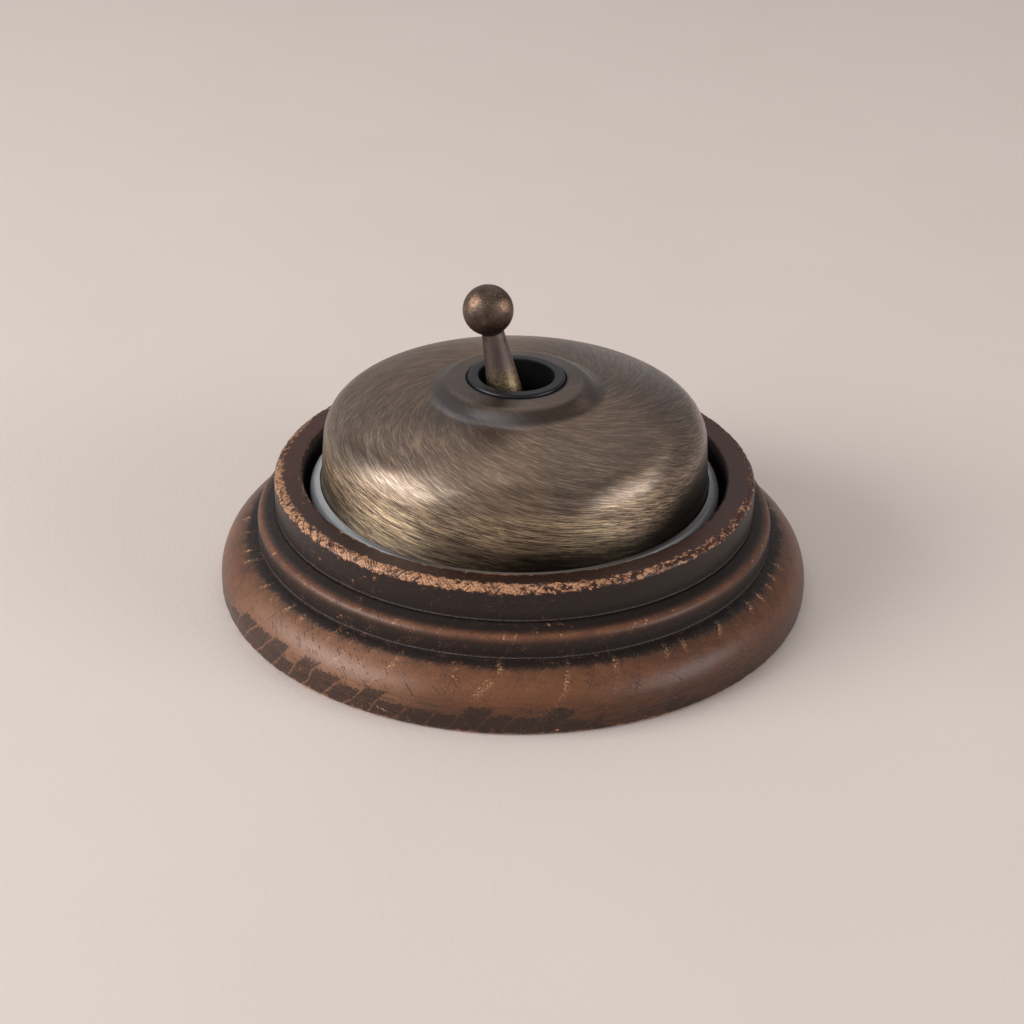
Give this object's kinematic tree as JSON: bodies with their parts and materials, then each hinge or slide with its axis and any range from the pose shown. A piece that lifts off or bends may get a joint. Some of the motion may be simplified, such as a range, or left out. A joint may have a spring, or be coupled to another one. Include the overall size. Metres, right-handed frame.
{
  "type": "surface toggle switch",
  "caption": "Round surface toggle switch: ball-ended lever through a metal dome on a porcelain base, in a stepped turned wooden pattress.",
  "frame": {"origin": "middle of the pattress's flat underside", "axes": "+Z away from the wall along the dome's axis; the lever swings in the XZ plane and rests leaning towards -X"},
  "size_m": [0.1, 0.1, 0.0528],
  "materials": {
    "stained_wood": "dark stain, rubbed through at the edges, satin wax",
    "porcelain": "white glaze",
    "aged_brass": "brushed, brown antique patina",
    "aged_bronze": "dark mottled patina with rubbed spots",
    "black_bakelite": "satin black",
    "brown_bakelite": "moulded, satin",
    "plain_brass": "bright machined",
    "zinc_steel": "zinc plated",
    "contact_silver": "silver alloy",
    "red_fibre": "vulcanised fibre"
  },
  "bodies": {
    "base": {"wood_pattress": "stained_wood", "porcelain_base": "porcelain", "dome_cover": "aged_brass", "collar_bush": "black_bakelite", "bush_ring_nut": "plain_brass", "cover_ring": "plain_brass", "bridge_frame": "zinc_steel", "frame_screws": "zinc_steel", "frame_nuts": "zinc_steel", "earth_clamp": "zinc_steel", "earth_screw": "zinc_steel", "base_screws": "zinc_steel", "base_washers": "red_fibre", "rocker_pin": "zinc_steel", "common_cradle": "plain_brass", "fixed_contact_left": "plain_brass", "fixed_contact_right": "plain_brass", "contact_studs": "contact_silver", "contact_rivets": "plain_brass", "terminal_left": "plain_brass", "terminal_right": "plain_brass", "terminal_common": "plain_brass", "terminal_screws": "zinc_steel", "block_screws": "zinc_steel"},
    "lever": {"lever": "aged_bronze", "lever_pins": "zinc_steel", "plunger_spring": "zinc_steel"},
    "plunger": {"plunger": "plain_brass"},
    "rocker": {"rocker_saddle": "brown_bakelite", "contact_blade": "plain_brass", "moving_contacts": "contact_silver", "saddle_rivets": "plain_brass"}
  },
  "joints": [
    {"name": "lever_swing", "type": "hinge", "parent": "base", "child": "lever", "pos_m": [0, 0, 0.025], "axis": [0, 1, 0], "range_deg": [0, 23]},
    {"name": "rocker_tilt", "type": "hinge", "parent": "base", "child": "rocker", "pos_m": [0, 0, 0.014], "axis": [0, 1, 0], "range_deg": [-16, 0]},
    {"name": "plunger_slide", "type": "slide", "parent": "lever", "child": "plunger", "axis": [-0.1994, 0, 0.9799], "range_m": [0, 0.0006], "stiffness_N_per_m": 100, "deforming": ["plunger_spring"]}
  ],
  "couplings": [
    {"joint": "rocker_tilt", "follows": "lever_swing", "ratio": -0.6956}
  ]
}
